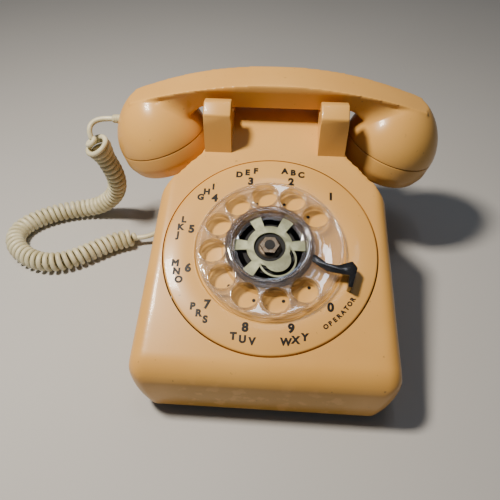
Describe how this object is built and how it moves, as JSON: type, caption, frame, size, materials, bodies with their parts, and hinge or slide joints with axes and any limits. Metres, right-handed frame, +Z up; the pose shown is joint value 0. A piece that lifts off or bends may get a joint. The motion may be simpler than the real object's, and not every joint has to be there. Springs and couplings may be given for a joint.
{
  "type": "rotary desk telephone",
  "caption": "Rotary dial desk telephone: sloped plastic housing with a clear finger wheel, a handset on a cradle with sprung plungers, and a coiled handset cord.",
  "frame": {"origin": "middle of the footprint, on the table under the rubber feet", "axes": "+Z up, the dial faces -Y, +X to the right as seen from the dial side"},
  "size_m": [0.3197, 0.2162, 0.1304],
  "materials": {
    "tan_abs": "glossy moulded",
    "clear_plastic": "clear, polished",
    "black_steel": "black enamel",
    "zinc_steel": "zinc plated",
    "brass": "plain",
    "gong_brass": "lacquered",
    "spring_steel": "bright",
    "black_rubber": "matt",
    "grey_plastic": "matt",
    "black_bakelite": "satin",
    "coil_tape": "varnished tape",
    "aluminium": "stamped",
    "ivory_cord": "satin vinyl"
  },
  "bodies": {
    "base": {"housing": "tan_abs", "base_plate": "black_steel", "rubber_feet": "black_rubber", "housing_screws": "spring_steel", "loudness_axle": "spring_steel", "gong_left": "gong_brass", "gong_right": "gong_brass", "gong_posts": "zinc_steel", "ringer_frame": "zinc_steel", "ringer_coil": "coil_tape", "clapper_pivot": "zinc_steel", "network_box": "grey_plastic", "network_terminals": "brass", "hook_bracket": "zinc_steel", "hook_pivot_pin": "spring_steel", "contact_pile": "black_bakelite", "handset_cord_grommet": "ivory_cord", "line_cord_grommet": "black_rubber", "number_ring": "tan_abs", "dial_frame": "zinc_steel", "gear_bridge": "zinc_steel", "governor_drum": "zinc_steel", "finger_stop": "black_steel", "pulse_contacts": "black_bakelite", "dial_bracket": "zinc_steel", "cord_curly": "ivory_cord", "cord_lead_base": "ivory_cord"},
    "dial": {"finger_wheel": "clear_plastic", "wheel_clamp": "zinc_steel", "clamp_spring": "spring_steel", "centre_nut": "zinc_steel", "dial_shaft": "spring_steel", "main_gear": "brass", "mainspring": "spring_steel"},
    "pulse_train": {"pulse_wheel": "brass"},
    "governor": {"governor_rotor": "brass"},
    "handset": {"handset_shell": "tan_abs", "handset_cord_boot": "ivory_cord", "transmitter_cap": "tan_abs", "receiver_cap": "tan_abs", "transmitter_unit": "aluminium", "transmitter_cup": "black_bakelite", "receiver_unit": "black_bakelite", "cord_lead_handset": "ivory_cord"},
    "plunger_left": {"plunger_left": "clear_plastic"},
    "plunger_right": {"plunger_right": "clear_plastic"},
    "hook_lever": {"hook_lever": "zinc_steel"},
    "clapper": {"clapper": "brass"},
    "loudness_wheel": {"loudness_wheel": "black_bakelite"}
  },
  "joints": [
    {"name": "handset_lift", "type": "slide", "parent": "base", "child": "handset", "axis": [0, 0, 1], "range_m": [0, 0.13]},
    {"name": "plunger_left_rise", "type": "slide", "parent": "base", "child": "plunger_left", "axis": [0, 0, 1], "range_m": [0, 0.004]},
    {"name": "plunger_right_rise", "type": "slide", "parent": "base", "child": "plunger_right", "axis": [0, 0, 1], "range_m": [0, 0.004]},
    {"name": "hook_lever_swing", "type": "hinge", "parent": "base", "child": "hook_lever", "pos_m": [0, 0.032, 0.066], "axis": [1, 0, 0], "range_deg": [0, 6.8]},
    {"name": "dial_turn", "type": "hinge", "parent": "base", "child": "dial", "pos_m": [0, -0.0365, 0.0697], "axis": [0, 0.342, -0.9397], "range_deg": [0, 320], "stiffness_Nm_per_rad": 0.004, "springref_deg": -68.75},
    {"name": "pulse_spin", "type": "hinge", "parent": "base", "child": "pulse_train", "pos_m": [-0.0135, -0.00769, 0.0589], "axis": [0, 0.342, -0.9397], "range_deg": [-1280, 0]},
    {"name": "governor_spin", "type": "hinge", "parent": "base", "child": "governor", "pos_m": [-0.0276, -0.01251, 0.05715], "axis": [0, 0.342, -0.9397], "range_deg": [0, 3840]},
    {"name": "clapper_swing", "type": "hinge", "parent": "base", "child": "clapper", "pos_m": [0, 0.0806, 0.033], "axis": [0, 0, 1], "range_deg": [-8, 8]},
    {"name": "loudness_turn", "type": "hinge", "parent": "base", "child": "loudness_wheel", "pos_m": [0.0535, 0.014, 0.0037], "axis": [0, 0, 1], "range_deg": [0, 270]}
  ],
  "couplings": [
    {"joint": "plunger_left_rise", "follows": "handset_lift", "ratio": 0.030769},
    {"joint": "plunger_right_rise", "follows": "handset_lift", "ratio": 0.030769},
    {"joint": "hook_lever_swing", "follows": "handset_lift", "rad_per_m": 0.91285},
    {"joint": "pulse_spin", "follows": "dial_turn", "ratio": -4},
    {"joint": "governor_spin", "follows": "dial_turn", "ratio": 12}
  ]
}
